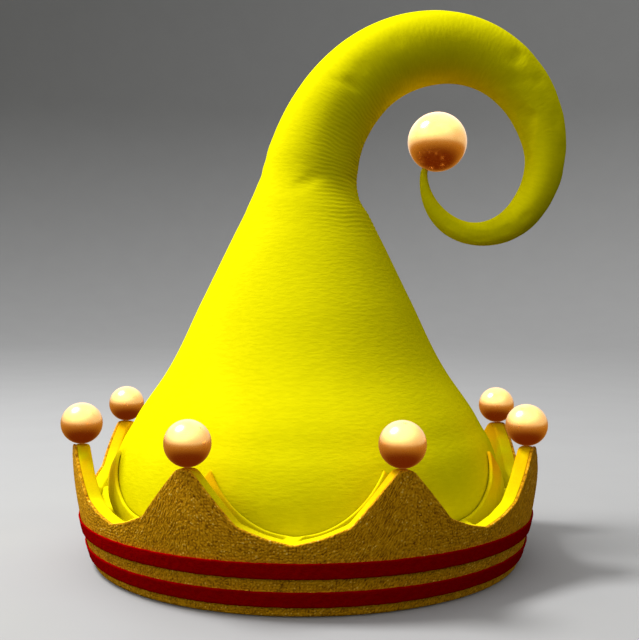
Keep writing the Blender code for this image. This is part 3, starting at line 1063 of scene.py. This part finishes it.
def make_ball(name, centre, radius, seed):
    """A lathed ball: rings at even angles from pole to pole, swollen or sunk by a very small wander."""
    fall = np.linspace(0, math.pi, BALL_ROWS + 2)[1:-1, None]
    turn = np.linspace(0, 2 * math.pi, BALL_COLUMNS, endpoint=False)[None, :]
    uneven = 1 + BALL_UNEVEN * wander(turn / (2 * math.pi), fall / math.pi, 6, 4, seed) * np.sin(fall)
    out = radius * np.sin(fall) * uneven
    rings = np.stack([out * np.cos(turn), out * np.sin(turn), -radius * np.cos(fall) * uneven], axis=2)
    poles = np.array([(0, 0, -radius), (0, 0, radius)])
    return ring_mesh(name, rings + centre, poles + centre)


for number in range(1, POINTS + 1):
    low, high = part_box(f"crown_ball_{number}")
    centre = np.array((low + high) / 2)
    mesh = make_ball(f"point_ball_{number}", centre, BALL_RADIUS, seed=60 + number)
    dress(f"point_ball_{number}", mesh, ball_metal, "satin_gold", f"crown_ball_{number}")

tip_centre = np.array((tip_low + tip_high) / 2)
tip_mesh = make_ball("tail_ball", tip_centre, TIP_BALL_RADIUS, seed=70)
dress("tail_ball", tip_mesh, ball_metal, "satin_gold", "tip_ball")
print("tail ball's middle", np.round(tip_centre, 4))

# %% [markdown]
# ## Floor and light
# The hat stands in a studio, on a plain pale floor that curves up into a round backdrop. The key
# stands high on the left, level with the hat, so it grazes the left of the crown and leaves the
# right side in shade. Round it hangs a broad bright canopy, which turns the upper half of every
# ball pale. Below the horizon the surroundings are a dark warm brown: the balls' lower half.
# Floor and backdrop throw no light back at the hat, as if black cloth lay just outside the picture.

# %% Studio
LIGHT_FROM = (-0.52, -0.03, 0.854)
LIGHT_REACH = 1.35
LIGHT_SIZE = 0.5
LIGHT_POWER = 23.0
LIGHT_SHINE = 0.45
HAT_MIDDLE = (0.0, 0.0, 0.13)
FLOOR_MIDDLE = 0.5
FLOOR_RADIUS = 2.2
SWEEP_RADIUS = 0.9
BACKDROP_HEIGHT = 3.5


def studio_bowl(name, sides=128, steps=24):
    """A floor disc, a quarter turn upwards round its rim and an upright wall, all in one round sheet."""
    sweep = np.linspace(0, math.pi / 2, steps)
    rim = FLOOR_RADIUS + SWEEP_RADIUS
    radii = np.concatenate([[FLOOR_MIDDLE], FLOOR_RADIUS + SWEEP_RADIUS * np.sin(sweep), [rim]])
    heights = np.concatenate([[0.0], SWEEP_RADIUS * (1 - np.cos(sweep)), [BACKDROP_HEIGHT]])
    angle = np.linspace(0, 2 * math.pi, sides, endpoint=False)
    points = np.stack([
        radii[:, None] * np.cos(angle),
        radii[:, None] * np.sin(angle),
        heights[:, None] + 0 * angle,
    ], axis=2).reshape(-1, 3)
    quads, _ = ring_quads(len(radii), sides, closes=False)
    mesh = bpy.data.meshes.new(name)
    mesh.from_pydata(points.tolist(), [], [*quads[:, ::-1].tolist(), list(range(sides))])
    mesh.shade_smooth()
    bowl = bpy.data.objects.new(name, mesh)
    bpy.context.collection.objects.link(bowl)
    return bowl


def paint_floor(sheet):
    """Matt pale paper with the faintest mottle."""
    mottle = sheet.noise(sheet.place(), scale=14.0, detail=3.0)
    return {"Base Color": sheet.mix(mottle, grey(0.34), grey(0.36)), "Roughness": 0.9}


floor = studio_bowl("floor")
floor.data.materials.append(finish("pale floor", {"Specular IOR Level": 0.05}, paint_floor))
floor.visible_glossy = False
floor.visible_diffuse = False
floor.visible_shadow = False
floor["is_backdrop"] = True


def soft_light(name, toward, reach, aim, size, power):
    """A round light at a distance in a direction from its aim, turned back towards the aim."""
    back = np.array(toward) / np.linalg.norm(toward)
    data = bpy.data.lights.new(name, "AREA")
    data.shape = "DISK"
    data.size = size
    data.energy = power
    data.specular_factor = LIGHT_SHINE
    lamp = bpy.data.objects.new(name, data)
    bpy.context.collection.objects.link(lamp)
    lamp.location = np.array(aim) + reach * back
    lamp.rotation_euler = (math.acos(back[2]), 0.0, math.atan2(back[0], -back[1]))


soft_light("key", LIGHT_FROM, LIGHT_REACH, HAT_MIDDLE, LIGHT_SIZE, LIGHT_POWER)


def light_world():
    """Surroundings: a canopy towards the key, a plainer sky under it and a warm dark floor.

    They are given twice, for cloth and for mirrors. Rays from a mirror meet a brighter and wider
    canopy. No real studio does that: it is a choice that makes the balls as pale as they should be.
    """
    world = bpy.data.worlds.new("studio")
    world.use_nodes = True
    bpy.context.scene.world = world
    sheet = Wire(world.node_tree)
    direction = sheet.node("ShaderNodeTexCoord", output="Generated")
    up = sheet.node("ShaderNodeSeparateXYZ", None, {0: direction}, output=2)
    product = {"operation": "DOT_PRODUCT"}
    toward = sheet.node("ShaderNodeVectorMath", product, {0: direction, 1: LIGHT_FROM}, output=1)
    above = up.clear(-0.03, 0.05)
    for_cloth = sheet.mix(toward.clear(0.1, 0.9), grey(0.28), grey(1.20))
    for_cloth = sheet.mix(above, rgb(0.035, 0.035, 0.02), for_cloth)
    below = sheet.mix(up.clear(-0.8, 0.0), rgb(0.15, 0.03, 0.002), rgb(0.56, 0.31, 0.05))
    for_metal = sheet.mix(toward.clear(-0.4, 0.7), grey(1.0), grey(2.8))
    for_metal = sheet.mix(up.clear(0.0, 0.5), grey(1.05), for_metal)
    for_metal = sheet.mix(above, below, for_metal)
    mirrored = sheet.node("ShaderNodeLightPath", output="Is Glossy Ray")
    seen = sheet.mix(mirrored, for_cloth, for_metal)
    world.node_tree.links.new(seen.output, world.node_tree.nodes["Background"].inputs["Color"])


light_world()
bpy.context.scene.view_settings.view_transform = "Standard"
print("studio lit")

# %% [markdown]
# ## Size of the dressed hat
# The size of the dressed hat is printed at the end: cloth may stand proud of the CAD solids by a few
# millimetres. Cloth may stand proud by a few millimetres, but the hat must not grow.

# %% Sizes and finish
low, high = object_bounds()
print("visual box", [round(value, 4) for value in (*low, *high)])
